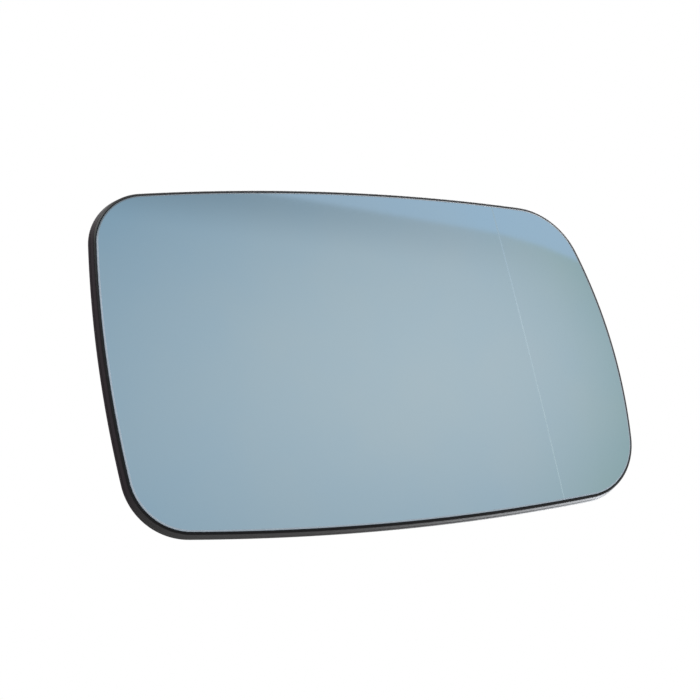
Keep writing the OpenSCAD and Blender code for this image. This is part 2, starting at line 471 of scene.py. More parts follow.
def smooth_by_angle(piece: bpy.types.Object, least_angle: float = 32.0) -> None:
    """Shades a piece smooth, with its edges above an angle kept crisp.

    Args:
        piece: The piece to shade.
        least_angle: Angle in degrees above which an edge stays crisp.
    """
    limit = math.radians(least_angle)
    same_point = metres(0.002)
    shape = bmesh.new()
    shape.from_mesh(piece.data)
    bmesh.ops.remove_doubles(shape, verts=shape.verts[:], dist=same_point)
    for face in shape.faces:
        face.smooth = True
    for edge in shape.edges:
        edge.smooth = len(edge.link_faces) == 2 and edge.calc_face_angle() < limit
    shape.to_mesh(piece.data)
    shape.free()


def dress(piece: bpy.types.Object, *finishes: bpy.types.Material) -> None:
    """Gives a piece its materials, in the order of its slots."""
    slots = [polygon.material_index for polygon in piece.data.polygons]
    piece.data.materials.clear()
    for finish in finishes:
        piece.data.materials.append(finish)
    if len(finishes) > 1:
        piece.data.polygons.foreach_set("material_index", slots)


def srgb(code: str) -> tuple[float, float, float, float]:
    """Turns an sRGB hex colour into the linear values that a shader takes.

    Args:
        code: Six hex digits after a hash sign.

    Returns:
        Linear red, green and blue, and an alpha of 1.
    """
    shares = [int(code[i:i + 2], 16) / 255.0 for i in (1, 3, 5)]
    linear = [s / 12.92 if s <= 0.04045 else ((s + 0.055) / 1.055) ** 2.4 for s in shares]
    return (linear[0], linear[1], linear[2], 1.0)


def add_node(
    tree: bpy.types.NodeTree, kind: str, inputs: dict | None = None, **settings: object
) -> bpy.types.Node:
    """Adds a node with its settings and links.

    Args:
        tree: The node tree.
        kind: The node's type, without its common first word.
        inputs: A value or an output socket for each input, by name or place.
        settings: The node's own properties.

    Returns:
        The new node.
    """
    node = tree.nodes.new("ShaderNode" + kind)
    for name, value in settings.items():
        setattr(node, name, value)
    for name, value in (inputs or {}).items():
        socket = node.inputs[name]
        if isinstance(value, bpy.types.NodeSocket):
            tree.links.new(value, socket)
        else:
            socket.default_value = value
    return node


def new_material(name: str) -> tuple[bpy.types.Material, bpy.types.NodeTree]:
    """Starts a material with an empty node tree."""
    made = bpy.data.materials.new(name)
    made.use_nodes = True
    made.node_tree.nodes.clear()
    return made, made.node_tree


def close_material(tree: bpy.types.NodeTree, shader: bpy.types.Node) -> None:
    """Links a shader to the material's output."""
    add_node(tree, "OutputMaterial", {"Surface": shader.outputs[0]})


def blend_of(
    tree: bpy.types.NodeTree,
    share: bpy.types.NodeSocket,
    low: str | bpy.types.NodeSocket,
    high: str | bpy.types.NodeSocket,
) -> bpy.types.NodeSocket:
    """Mixes two colours by a share that varies over the surface.

    Args:
        tree: The node tree.
        share: Where the second colour shows, from 0 to 1.
        low: The first colour, as sRGB hex or a socket.
        high: The second colour, as sRGB hex or a socket.

    Returns:
        The mixed colour's socket.
    """
    first_colour = 6
    second_colour = 7
    mixed_colour = 2
    low = srgb(low) if isinstance(low, str) else low
    high = srgb(high) if isinstance(high, str) else high
    mix = add_node(
        tree, "Mix", {0: share, first_colour: low, second_colour: high},
        data_type="RGBA", clamp_factor=True,
    )
    return mix.outputs[mixed_colour]


def spread(
    tree: bpy.types.NodeTree, value: bpy.types.NodeSocket, low: float, high: float
) -> bpy.types.NodeSocket:
    """Maps a pattern's middle range to a range of values.

    Args:
        tree: The node tree.
        value: The pattern, about 0.3 to 0.7.
        low: Value at the pattern's low end.
        high: Value at its high end.

    Returns:
        The mapped value's socket.
    """
    pattern_low = 0.3
    pattern_high = 0.7
    return add_node(tree, "MapRange", {
        "Value": value, "From Min": pattern_low, "From Max": pattern_high,
        "To Min": low, "To Max": high,
    }).outputs["Result"]


@dataclass(frozen=True)
class TintedMirrorCoat:
    """Float glass bent over a former, with a blue-tinted chromium coat on its front.

    It gives the eye a clear, slightly darkened blue-grey picture of what stands in front of it.
    """

    name: str = "chrome_coated_float_glass"
    tint: str = "#a9bccb"
    thin_tint: str = "#a6bbcc"
    roughness: float = 0.035
    cloud_pitch: float = 24.0
    wipe_pitch: float = 1.1

    def build(self) -> bpy.types.Material:
        """Builds the coat: a metal mirror whose tint and gloss drift faintly over the plate."""
        made, tree = new_material(self.name)
        place = add_node(tree, "TexCoord").outputs["Object"]
        cloud = add_node(tree, "TexNoise", {
            "Vector": place, "Scale": per_mm(self.cloud_pitch), "Detail": 2.0,
        })
        wipe = add_node(tree, "TexNoise", {
            "Vector": place, "Scale": per_mm(self.wipe_pitch), "Detail": 3.0,
        })
        drift = spread(tree, cloud.outputs["Fac"], 0.0, 1.0)
        colour = blend_of(tree, drift, self.tint, self.thin_tint)
        gloss = spread(tree, wipe.outputs["Fac"], self.roughness * 0.7, self.roughness * 1.3)
        close_material(tree, add_node(tree, "BsdfPrincipled", {
            "Base Color": colour, "Metallic": 1.0, "Roughness": gloss,
        }))
        return made


@dataclass(frozen=True)
class EtchedMirrorLine:
    """The mirror coat etched away in a hairline, which marks the start of the aspheric zone.

    It gives the eye a faint line, paler and duller than the mirror on either side, whose colour
    fades into the coat's tint towards its upper end. The two heights are above the socket's axis.
    """

    name: str = "etched_mirror_line"
    tint: str = "#bccddb"
    faint: str = "#a9bccb"
    full_below: float = 8.0
    faint_above: float = 46.0
    roughness: float = 0.3
    stroke_pitch: float = 0.8

    def build(self) -> bpy.types.Material:
        """Builds the line: the same metal with a matt, slightly uneven bite."""
        made, tree = new_material(self.name)
        place = add_node(tree, "TexCoord").outputs["Object"]
        bite = add_node(tree, "TexNoise", {
            "Vector": place, "Scale": per_mm(self.stroke_pitch), "Detail": 2.0,
        })
        gloss = spread(tree, bite.outputs["Fac"], self.roughness * 0.8, self.roughness * 1.2)
        # The line's colour runs from the pale tint low down to the coat's tint higher up, by
        # height alone
        height = add_node(tree, "SeparateXYZ", {"Vector": place}).outputs["Z"]
        depth = add_node(tree, "MapRange", {
            "Value": height, "From Min": metres(self.faint_above),
            "From Max": metres(self.full_below),
        }, interpolation_type="SMOOTHSTEP")
        colour = blend_of(tree, depth.outputs["Result"], self.faint, self.tint)
        close_material(tree, add_node(tree, "BsdfPrincipled", {
            "Base Color": colour, "Metallic": 1.0, "Roughness": gloss,
        }))
        return made


@dataclass(frozen=True)
class GroundGlassEdge:
    """The glass edge, ground with a fine wheel and left frosted.

    It gives the eye a thin pale line where the mirror ends, its colour darkened by painted shade
    at the top, where it turns away from the light that comes back from the floor.
    """

    name: str = "ground_glass_edge"
    tint: str = "#a5b4c2"
    # Painted shade: a darker colour painted on the top edge, where the edge faces upward
    painted_top_shade: str = "#5a6873"
    upward: float = 0.3
    roughness: float = 0.5
    grit: float = 0.3

    def build(self) -> bpy.types.Material:
        """Builds the edge, with the grinding grit drawn at 0.3 mm so that it shows at all."""
        made, tree = new_material(self.name)
        place = add_node(tree, "TexCoord").outputs["Object"]
        grit = add_node(tree, "TexNoise", {
            "Vector": place, "Scale": per_mm(self.grit), "Detail": 4.0,
        })
        bump = add_node(tree, "Bump", {
            "Height": grit.outputs["Fac"], "Strength": 0.3, "Distance": metres(0.05),
        })
        # Painted shade: the colour darkens towards the painted top shade as the edge's normal
        # turns upward
        facing = add_node(tree, "SeparateXYZ", {
            "Vector": add_node(tree, "NewGeometry").outputs["Normal"],
        })
        upward = add_node(tree, "MapRange", {
            "Value": facing.outputs["Z"], "From Min": 0.0, "From Max": self.upward,
        })
        tint = blend_of(tree, upward.outputs["Result"], self.tint, self.painted_top_shade)
        close_material(tree, add_node(tree, "BsdfPrincipled", {
            "Base Color": tint, "Roughness": self.roughness, "IOR": 1.52,
            "Normal": bump.outputs["Normal"],
        }))
        return made


@dataclass(frozen=True)
class MouldedBlackPlastic:
    """Black polypropylene, injection moulded in a tool with a fine eroded grain.

    It gives the eye a deep, slightly warm black with a soft sheen that wakes at a low angle.
    """

    name: str = "moulded_black_polypropylene"
    dark: str = "#060506"
    light: str = "#0d0b0c"
    roughness: float = 0.33
    grain: float = 0.35
    flow_pitch: float = 30.0

    def build(self) -> bpy.types.Material:
        """Builds the plastic, with its 0.05 mm grain drawn at 0.35 mm so that it shows."""
        made, tree = new_material(self.name)
        place = add_node(tree, "TexCoord").outputs["Object"]
        flow = add_node(tree, "TexNoise", {
            "Vector": place, "Scale": per_mm(self.flow_pitch), "Detail": 3.0,
        })
        grain = add_node(tree, "TexNoise", {
            "Vector": place, "Scale": per_mm(self.grain), "Detail": 3.0,
        })
        bump = add_node(tree, "Bump", {
            "Height": grain.outputs["Fac"], "Strength": 0.2, "Distance": metres(0.03),
        })
        drift = spread(tree, flow.outputs["Fac"], 0.0, 1.0)
        colour = blend_of(tree, drift, self.dark, self.light)
        gloss = spread(tree, grain.outputs["Fac"], self.roughness - 0.05, self.roughness + 0.05)
        close_material(tree, add_node(tree, "BsdfPrincipled", {
            "Base Color": colour, "Roughness": gloss, "IOR": 1.49,
            "Normal": bump.outputs["Normal"],
        }))
        return made


@dataclass(frozen=True)
class PrintedHeaterFoil:
    """Amber polyester film with screen-printed heater tracks.

    It gives the eye a warm translucent brown crossed by matt dark grey lines.
    """

    name: str = "printed_polyester_foil"
    film: str = "#a8742f"
    track: str = "#3a3330"
    track_pitch: float = 3.0
    track_edge: Span = (0.46, 0.54)
    roughness: float = 0.34
    track_roughness: float = 0.6

    def build(self) -> bpy.types.Material:
        """Builds the foil, its tracks 3 mm apart and half as wide."""
        made, tree = new_material(self.name)
        place = add_node(tree, "TexCoord").outputs["Object"]
        bands = add_node(tree, "TexWave", {
            "Vector": place, "Scale": per_mm(self.track_pitch) / TURN * 0.5, "Distortion": 0.0,
        }, wave_type="BANDS", bands_direction="Z")
        edge = add_node(tree, "MapRange", {
            "Value": bands.outputs["Fac"],
            "From Min": self.track_edge[0], "From Max": self.track_edge[1],
        })
        colour = blend_of(tree, edge.outputs["Result"], self.film, self.track)
        gloss = add_node(tree, "MapRange", {
            "Value": bands.outputs["Fac"],
            "To Min": self.roughness, "To Max": self.track_roughness,
        })
        close_material(tree, add_node(tree, "BsdfPrincipled", {
            "Base Color": colour, "Roughness": gloss.outputs["Result"], "IOR": 1.6,
        }))
        return made


@dataclass(frozen=True)
class WorkedMetal:
    """A bright metal marked by the tool that shaped it."""

    name: str
    tint: str
    deep_tint: str
    roughness: float
    mark_pitch: float
    mark_stretch: tuple[float, float, float] = (1.0, 1.0, 1.0)
    mark_depth: float = 0.02

    def build(self) -> bpy.types.Material:
        """Builds the metal, with tool marks in its tint, its gloss and its relief."""
        made, tree = new_material(self.name)
        place = add_node(tree, "TexCoord").outputs["Object"]
        drawn = add_node(tree, "Mapping", {"Vector": place, "Scale": self.mark_stretch})
        marks = add_node(tree, "TexNoise", {
            "Vector": drawn.outputs["Vector"], "Scale": per_mm(self.mark_pitch), "Detail": 4.0,
        })
        share = spread(tree, marks.outputs["Fac"], 0.0, 1.0)
        colour = blend_of(tree, share, self.deep_tint, self.tint)
        gloss = spread(tree, marks.outputs["Fac"], self.roughness * 1.25, self.roughness * 0.8)
        bump = add_node(tree, "Bump", {
            "Height": marks.outputs["Fac"], "Strength": 0.25, "Distance": metres(self.mark_depth),
        })
        close_material(tree, add_node(tree, "BsdfPrincipled", {
            "Base Color": colour, "Metallic": 1.0, "Roughness": gloss,
            "Normal": bump.outputs["Normal"],
        }))
        return made


# Hard-drawn spring steel: cool grey, with fine scores from the die
SPRING_STEEL = WorkedMetal("drawn_spring_steel", "#9b9ca0", "#77787c", 0.3, 0.4)
# Brass strip with a hot-dipped tin coat: pale and faintly mottled
TIN_PLATE = WorkedMetal("tin_plated_brass_strip", "#cfcdc6", "#b3b0a8", 0.3, 0.9)
# The strip's sheared sides, where the press left the brass bare
SHEARED_BRASS = WorkedMetal(
    "sheared_brass_side", "#c09a54", "#9a7638", 0.38, 0.25, mark_stretch=(1.0, 1.0, 3.0)
)
# Brass rivets with heads formed by a spinning tool: warm and bright
SPUN_BRASS = WorkedMetal("spun_brass_rivet", "#cba765", "#a98544", 0.24, 0.5)


class GlassSlot(IntEnum):
    """The material slots of the glass."""

    COAT = 0
    EDGE = 1
    LINE = 2


@dataclass
class MirrorGlass:
    """The bent mirror glass, with ground edges and the etched aspheric line."""

    thickness: float = 2.0
    arris: float = 0.4
    arris_depth: float = 0.2
    line_width: float = 0.42
    fill_rings: int = 46
    back_ring_step: int = 4
    rim_offset: float = 6.0

    def front_rows(self, draft: MeshDraft) -> list[list[bmesh.types.BMVert]]:
        """Draws the rows of the front face, from its edge to near its middle."""
        edge = OUTLINE.ring(-self.arris)
        base = OUTLINE.ring(-self.rim_offset)
        rows = [draft.add_ring(SURFACE.point(p, 0.0) for p in edge)]
        halfway = OUTLINE.ring(-(self.arris + self.rim_offset) / 2)
        rows.append(draft.add_ring(SURFACE.point(p, 0.0) for p in halfway))
        for i in range(self.fill_rings):
            share = 1.0 - i / self.fill_rings
            rows.append(draft.add_ring(SURFACE.point(share * p, 0.0) for p in base))
        return rows

    def mark_line(self, draft: MeshDraft) -> None:
        """Cuts the etched line into the front face and gives it its own slot."""
        square = SURFACE.across().to_3d()
        for side in (-0.5, 0.5):
            at = (SURFACE.line_x + side * self.line_width) * square
            front = [face for face in draft.mesh.faces if face.material_index == GlassSlot.COAT]
            parts = set(front)
            for face in front:
                parts.update(face.edges)
                parts.update(face.verts)
            bmesh.ops.bisect_plane(
                draft.mesh, geom=list(parts), dist=1e-5, plane_co=at, plane_no=square
            )
        for face in draft.mesh.faces:
            out = face.calc_center_median().dot(square) - SURFACE.line_x
            if face.material_index == GlassSlot.COAT and abs(out) < self.line_width / 2:
                face.material_index = GlassSlot.LINE

    def build(self) -> bpy.types.Object:
        """Builds the glass as one closed shape with slots for coat, edge and line."""
        draft = MeshDraft()
        rows = self.front_rows(draft)
        for first, second in zip(rows, rows[1:]):
            draft.join(first, second)
        draft.fan(rows[-1], SURFACE.point(Vector((0.0, 0.0)), 0.0))
        side_profile = [
            (0.0, self.arris_depth), (0.0, self.thickness - self.arris_depth),
            (-self.arris, self.thickness),
        ]
        last = rows[0]
        for grow, depth in side_profile:
            row = draft.add_ring(SURFACE.point(p, depth) for p in OUTLINE.ring(grow))
            draft.join(last, row, GlassSlot.EDGE)
            last = row
        base = OUTLINE.ring(-self.rim_offset)
        for i in range(1, self.fill_rings, self.back_ring_step):
            share = 1.0 - i / self.fill_rings
            row = draft.add_ring(SURFACE.point(share * p, self.thickness) for p in base)
            draft.join(last, row, GlassSlot.EDGE)
            last = row
        draft.fan(last, SURFACE.point(Vector((0.0, 0.0)), self.thickness), GlassSlot.EDGE)
        self.mark_line(draft)
        piece = draft.piece("bent_mirror_glass")
        self.polish(piece)
        return piece

    def polish(self, piece: bpy.types.Object) -> None:
        """Shades the front face by the true surface, so that reflections run clean."""
        data = piece.data
        data.polygons.foreach_set("use_smooth", [True] * len(data.polygons))
        for edge, slots in self.edge_slots(data).items():
            data.edges[edge].use_edge_sharp = len(slots) > 1
        back = AXES.matrix().inverted()
        normals = [Vector((0.0, 0.0, 0.0))] * len(data.loops)
        corner = [loop.vector.copy() for loop in data.corner_normals]
        for polygon in data.polygons:
            for index in polygon.loop_indices:
                normals[index] = corner[index]
                if polygon.material_index != GlassSlot.EDGE:
                    local = back @ data.vertices[data.loops[index].vertex_index].co
                    normals[index] = AXES.direction(SURFACE.normal(local.x, local.y))
        data.normals_split_custom_set(normals)

    @staticmethod
    def edge_slots(data: bpy.types.Mesh) -> dict[int, set[bool]]:
        """Lists for each edge whether ground faces, mirror faces or both meet there."""
        found: dict[int, set[bool]] = {}
        for polygon in data.polygons:
            ground = polygon.material_index == GlassSlot.EDGE
            for index in polygon.loop_indices:
                found.setdefault(data.loops[index].edge_index, set()).add(ground)
        return found

    def dress(self, piece: bpy.types.Object) -> None:
        """Gives the glass its coat, its ground edge and its etched line."""
        finishes = (TintedMirrorCoat(), GroundGlassEdge(), EtchedMirrorLine())
        dress(piece, *(finish.build() for finish in finishes))
        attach(piece, "root")
        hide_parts("mirror_glass")


@dataclass
class HeaterFilm:
    """The heater foil, seen through the windows in the plate."""

    def dress(self) -> None:
        """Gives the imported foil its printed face."""
        dress(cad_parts["heater_film"], PrintedHeaterFoil().build())


@dataclass
class BackingPlate:
    """The moulded plate: the rim round the glass, the floor, the ribs and the motor socket."""

    glass_gap: float = 0.2
    rim_wall: float = 0.7
    rim_flare: float = 0.69
    rim_drop: float = 0.35
    rim_skirt: float = 0.2
    lip_slope: float = 24.0
    lip_radius: float = 0.35
    inner_radius: float = 0.03
    rear_radius: float = 0.3
    witness_at: float = 0.55
    witness_width: float = 0.16
    witness_depth: float = 0.05
    wall_shares: Span = (0.2, 0.4)
    last_wall_share: float = 0.8
    floor_top: float = 2.4
    floor_thickness: float = 1.8
    floor_rings: int = 14
    rib_thickness: float = 1.5
    rib_height: float = 2.5
    rib_inset: float = 8.0
    rib_count: int = 12
    rib_radius: float = 0.3
    rib_step: float = 4.0
    root_fillet: float = 0.4
    root_sink: float = 0.02
    overlap: float = 0.5
    gusset_reach: float = 9.0
    gusset_break: float = 0.2
    socket_radius: float = 30.0
    guide_length: float = 5.0
    relief: float = 0.5
    collar_wall: float = 2.4
    collar_height: float = 12.0
    collar_buried: float = 0.9
    collar_break: float = 0.6
    collar_sides: int = 192
    key_width: float = 4.0
    key_length: float = 3.0
    wire_diameter: float = 1.4
    slot_land: float = 0.5
    slot_gap: float = 0.2
    wire_catch: float = 1.0
    slot_directions: tuple[float, ...] = (90.0, 210.0, 330.0)
    terminal_x: float = -50.0
    terminal_pitch: float = 19.0
    window_width: float = 10.0
    window_height: float = 9.3
    window_wall: float = 1.5
    shroud_radius: float = 0.5
    shroud_break: float = 0.25
    mark_diameter: float = 5.0
    mark_depth: float = 0.15
    mark_places: tuple[Span, ...] = (
        (-66.0, 27.0), (-66.0, -27.0), (-27.0, 34.0), (-27.0, -34.0),
        (23.0, 34.0), (23.0, -34.0), (58.0, 24.0), (58.0, -26.0),
    )

    @property
    def floor_bottom(self) -> float:
        """Depth of the floor's rear face below the glass face."""
        return self.floor_top + self.floor_thickness

    @property
    def rim_bottom(self) -> float:
        """Depth of the rim's rear edge below the glass face."""
        return self.floor_bottom + self.rim_skirt

    @property
    def collar_radius(self) -> float:
        """Outer radius of the socket's collar."""
        return self.socket_radius + self.collar_wall

    @property
    def collar_middle(self) -> float:
        """Radius of the middle of the collar's wall."""
        return self.collar_radius - self.collar_wall / 2

    @property
    def frame_middle(self) -> float:
        """Distance of the frame rib's middle outside the glass edge."""
        return -self.rib_inset - self.rib_thickness / 2

    @property
    def wire_z(self) -> float:
        """Height of the retaining wire's centre above the socket's mouth."""
        return self.guide_length + self.slot_land + self.slot_gap + self.wire_diameter / 2

    @property
    def socket_centre(self) -> Vector:
        """Place of the socket's axis in the glass's axes."""
        return Vector((-AXES.shift, 0.0))

    def about_socket(self, angle: float = 0.0) -> Matrix:
        """Gives the place of a shape on the socket's axis, turned by an angle in degrees."""
        turn = Matrix.Rotation(math.radians(angle), 4, "Z")
        return Matrix.Translation(self.socket_centre.to_3d()) @ turn

    def terminal_place(self, side: int) -> Vector:
        """Gives the middle of one terminal window."""
        return Vector((self.terminal_x, side * self.terminal_pitch / 2))

    def rim_profile(self) -> Profile:
        """Gives the section of the rim, from the floor's front round to the floor's rear.

        Returns:
            Points (distance outside the glass edge, depth below the glass face).
        """
        inner = self.glass_gap
        front = self.glass_gap + self.rim_wall
        rear = front + self.rim_flare
        slope = Vector((self.rim_flare, self.rim_bottom - self.rim_drop)).normalized()
        lean = math.degrees(math.atan2(slope.x, slope.y))
        tail = Vector((rear - self.rear_radius, self.rim_bottom - self.rear_radius))
        inside = Vector((inner + self.inner_radius, self.rim_drop + self.inner_radius))
        away = heading(math.radians(270.0 + self.lip_slope))
        level = front - self.lip_radius - inside.x
        sink = (self.inner_radius - self.lip_radius - level * away.x) / away.y
        lip = inside + Vector((level, sink))
        halfway = (self.floor_top + self.rim_drop) / 2
        points = [Vector((inner, self.floor_top)), Vector((inner, halfway))]
        points += arc_points(inside, self.inner_radius, 180.0, 270.0 + self.lip_slope, 5)
        points += arc_points(lip, self.lip_radius, 270.0 + self.lip_slope, 360.0 - lean, 6)
        start = points[-1]
        end = tail + self.rear_radius * heading(math.radians(-lean))
        half = self.witness_width / 2 / (end - start).length
        sunk = self.witness_depth * heading(math.radians(180.0 - lean))
        above = (*self.wall_shares, self.witness_at - half)
        below = (self.witness_at + half, self.last_wall_share)
        points += [start.lerp(end, share) for share in above]
        points += [start.lerp(end, self.witness_at) + sunk]
        points += [start.lerp(end, share) for share in below]
        points += arc_points(tail, self.rear_radius, -lean, 90.0, 6)
        points += [Vector((inner, self.rim_bottom)), Vector((inner, self.floor_bottom))]
        return [(p.x, p.y) for p in points]

    def tray(self) -> bpy.types.Object:
        """Draws the curved floor and the flared rim as one closed shape."""
        draft = MeshDraft()
        rows = []
        for grow, depth in self.rim_profile():
            rows.append(draft.add_ring(SURFACE.point(p, depth) for p in OUTLINE.ring(grow)))
        for first, second in zip(rows, rows[1:]):
            draft.join(first, second)
        base = OUTLINE.ring(-self.rib_inset / 2)
        for edge, depth in ((rows[0], self.floor_top), (rows[-1], self.floor_bottom)):
            last = edge
            for i in range(self.floor_rings):
                share = 1.0 - i / self.floor_rings
                row = draft.add_ring(SURFACE.point(share * p, depth) for p in base)
                draft.join(last, row)
                last = row
            draft.fan(last, SURFACE.point(Vector((0.0, 0.0)), depth))
        return draft.piece("tray")

    def rib_section(self) -> Profile:
        """Gives a rib's section: (distance from its middle, depth below the glass face)."""
        half = self.rib_thickness / 2
        top = self.floor_bottom + self.rib_height
        root = self.floor_bottom - self.root_sink
        sunk = self.floor_bottom - self.overlap
        fillet = Vector((half + self.root_fillet, root + self.root_fillet))
        crest = Vector((half - self.rib_radius, top - self.rib_radius))
        right = [Vector((half + self.root_fillet, sunk))]
        right += arc_points(fillet, self.root_fillet, 270.0, 180.0, 4)
        right += arc_points(crest, self.rib_radius, 0.0, 90.0, 4)
        left = [Vector((-p.x, p.y)) for p in reversed(right)]
        return [(p.x, p.y) for p in right + left]

    def frame_rib(self) -> bpy.types.Object:
        """Draws the rib that runs right round, inside the rim."""
        draft = MeshDraft()
        rows = [
            [SURFACE.point(p, depth) for p in OUTLINE.ring(self.frame_middle + aside)]
            for aside, depth in self.rib_section()
        ]
        draft.loft(rows, closed=True)
        return draft.piece("frame_rib")

    def radial_rib(self, angle: float) -> bpy.types.Object:
        """Draws one rib from the socket's collar to the frame rib.

        Args:
            angle: Its direction in degrees.

        Returns:
            The rib.
        """
        way = heading(math.radians(angle))
        aside = Vector((-way.y, way.x))
        start = self.collar_middle
        end = OUTLINE.reach(self.socket_centre, math.radians(angle), self.frame_middle)
        count = max(3, round((end - start) / self.rib_step))
        section = self.rib_section()
        rows = []
        for i in range(count + 1):
            at = self.socket_centre + (start + (end - start) * i / count) * way
            rows.append([SURFACE.point(at + off * aside, depth) for off, depth in section])
        draft = MeshDraft()
        draft.loft(rows)
        return draft.piece("radial_rib")

    def gusset(self, angle: float) -> bpy.types.Object:
        """Draws one web that braces the collar.

        Args:
            angle: Its direction in degrees.

        Returns:
            The web.
        """
        inside = self.collar_middle
        tip = self.wire_z + self.wire_diameter / 2 + 2 * self.slot_gap
        reach = self.collar_radius + self.gusset_reach
        root = SURFACE.height(reach, 0.0, self.floor_bottom - self.floor_thickness / 2)
        shape = [
            Vector((inside, tip)), Vector((self.collar_radius + self.rib_thickness, tip)),
            Vector((reach, self.collar_height)), Vector((reach, root)), Vector((inside, root)),
        ]
        draft = MeshDraft()
        draft.extrude(shape, -self.rib_thickness / 2, self.rib_thickness / 2)
        draft.break_edges(self.gusset_break)
        draft.place(self.about_socket(angle) @ STAND_UP)
        return draft.piece("gusset")

    def collar(self) -> bpy.types.Object:
        """Draws the socket's collar with its guide wall, its relief and its broken edges."""
        top = self.collar_height + self.collar_buried
        soft = 0.25
        blunt = 0.08
        lead = 0.07
        step = self.guide_length
        draft = MeshDraft()
        draft.lathe([
            (self.socket_radius, soft), (self.socket_radius, step),
            (self.socket_radius + self.relief, step), (self.socket_radius + self.relief, top),
            (self.collar_radius, top), (self.collar_radius, self.collar_break + soft),
            (self.collar_radius - blunt, self.collar_break),
            (self.collar_radius - self.collar_break, blunt),
            (self.collar_radius - self.collar_break - soft, 0.0),
            (self.socket_radius + soft, 0.0), (self.socket_radius + lead, lead),
        ], self.collar_sides)
        draft.place(self.about_socket())
        return draft.piece("collar")

    def shroud(self, side: int) -> bpy.types.Object:
        """Draws the low wall round one terminal window."""
        wall = self.window_wall
        half_w = self.window_width / 2 + wall
        half_h = self.window_height / 2 + wall
        at = self.terminal_place(side)
        soft = self.shroud_radius
        signs = ((1, 1), (-1, 1), (-1, -1), (1, -1))
        shape = []
        for i, (right, up) in enumerate(signs):
            middle = Vector((right * (half_w - soft), up * (half_h - soft)))
            shape += arc_points(middle, soft, 90.0 * i, 90.0 * (i + 1), 5)
        shape = [at + p for p in shape]
        crest = self.floor_bottom + self.rib_height
        shrink = 1.0 - self.shroud_break / half_w
        draft = MeshDraft()
        draft.loft([
            [SURFACE.point(p, self.floor_bottom - self.overlap) for p in shape],
            [SURFACE.point(p, crest - self.shroud_break) for p in shape],
            [SURFACE.point(at + (p - at) * shrink, crest) for p in shape],
        ])
        return draft.piece("shroud")

    def window(self, side: int) -> bpy.types.Object:
        """Draws what one terminal window cuts away."""
        half_w = self.window_width / 2
        half_h = self.window_height / 2
        at = self.terminal_place(side)
        shape = [at + corner for corner in rectangle((-half_w, half_w), (-half_h, half_h))]
        draft = MeshDraft()
        draft.extrude(shape, 0.0, SURFACE.face_z)
        return draft.piece("window")

    def block(self, angle: float, out: Span, aside: Span, up: Span) -> bpy.types.Object:
        """Draws a block beside the socket's axis.

        Args:
            angle: Its turn about the axis, in degrees.
            out: Where it starts and ends, outward from the axis.
            aside: Its two sides, square to that.
            up: Its two ends along the axis.

        Returns:
            The block.
        """
        draft = MeshDraft()
        draft.extrude(rectangle(out, aside), *up)
        draft.place(self.about_socket(angle))
        return draft.piece("block")

    def socket_cuts(self) -> list[bpy.types.Object]:
        """Draws the two key notches and the three slots for the retaining wire."""
        half_key = self.key_width / 2
        past = 1.0
        cuts = []
        for angle in (0.0, 180.0):
            out = (self.socket_radius - past, self.collar_radius + past)
            cuts.append(self.block(angle, out, (-half_key, half_key), (-past, self.key_length)))
        inside = self.socket_radius - self.wire_catch - self.slot_gap
        half_slot = self.wire_diameter / 2 + self.slot_gap
        for angle in self.slot_directions:
            out = (inside, inside + self.collar_radius)
            cuts.append(self.block(
                angle, out, (-self.collar_radius, self.collar_radius),
                (self.wire_z - half_slot, self.wire_z + half_slot),
            ))
        return cuts

    def ejector_marks(self) -> list[bpy.types.Object]:
        """Draws the shallow round marks that the mould's ejector pins leave in the floor."""
        radius = self.mark_diameter / 2
        depth = self.floor_bottom - self.mark_depth
        past = 3.0
        made = []
        for x, y in self.mark_places:
            draft = MeshDraft()
            draft.turned([(radius, -past), (radius, 0.0)], ROUND_SIDES)
            draft.place(SURFACE.seat(x, y, depth))
            made.append(draft.piece("ejector_mark"))
        return made

    def build(self) -> bpy.types.Object:
        """Builds the whole moulding as one closed shape."""
        plate = self.tray()
        angles = [360.0 * i / self.rib_count for i in range(self.rib_count)]
        added = [self.frame_rib(), self.collar(), self.shroud(1), self.shroud(-1)]
        added += [self.radial_rib(angle) for angle in angles]
        added += [self.gusset(angle) for angle in angles]
        combine(plate, added, Joining.UNION)
        cuts = [self.window(1), self.window(-1)] + self.socket_cuts() + self.ejector_marks()
        combine(plate, cuts, Joining.DIFFERENCE)
        plate.name = "moulded_backing_plate"
        smooth_by_angle(plate)
        return plate

    def dress(self, piece: bpy.types.Object) -> None:
        """Gives the plate its plastic."""
        dress(piece, MouldedBlackPlastic().build())
        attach(piece, "root")
        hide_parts("backing_plate")


@dataclass
class RetainingRing:
    """The spring wire that catches the motor."""

    def dress(self) -> None:
        """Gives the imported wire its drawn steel."""
        dress(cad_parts["retaining_ring"], SPRING_STEEL.build())


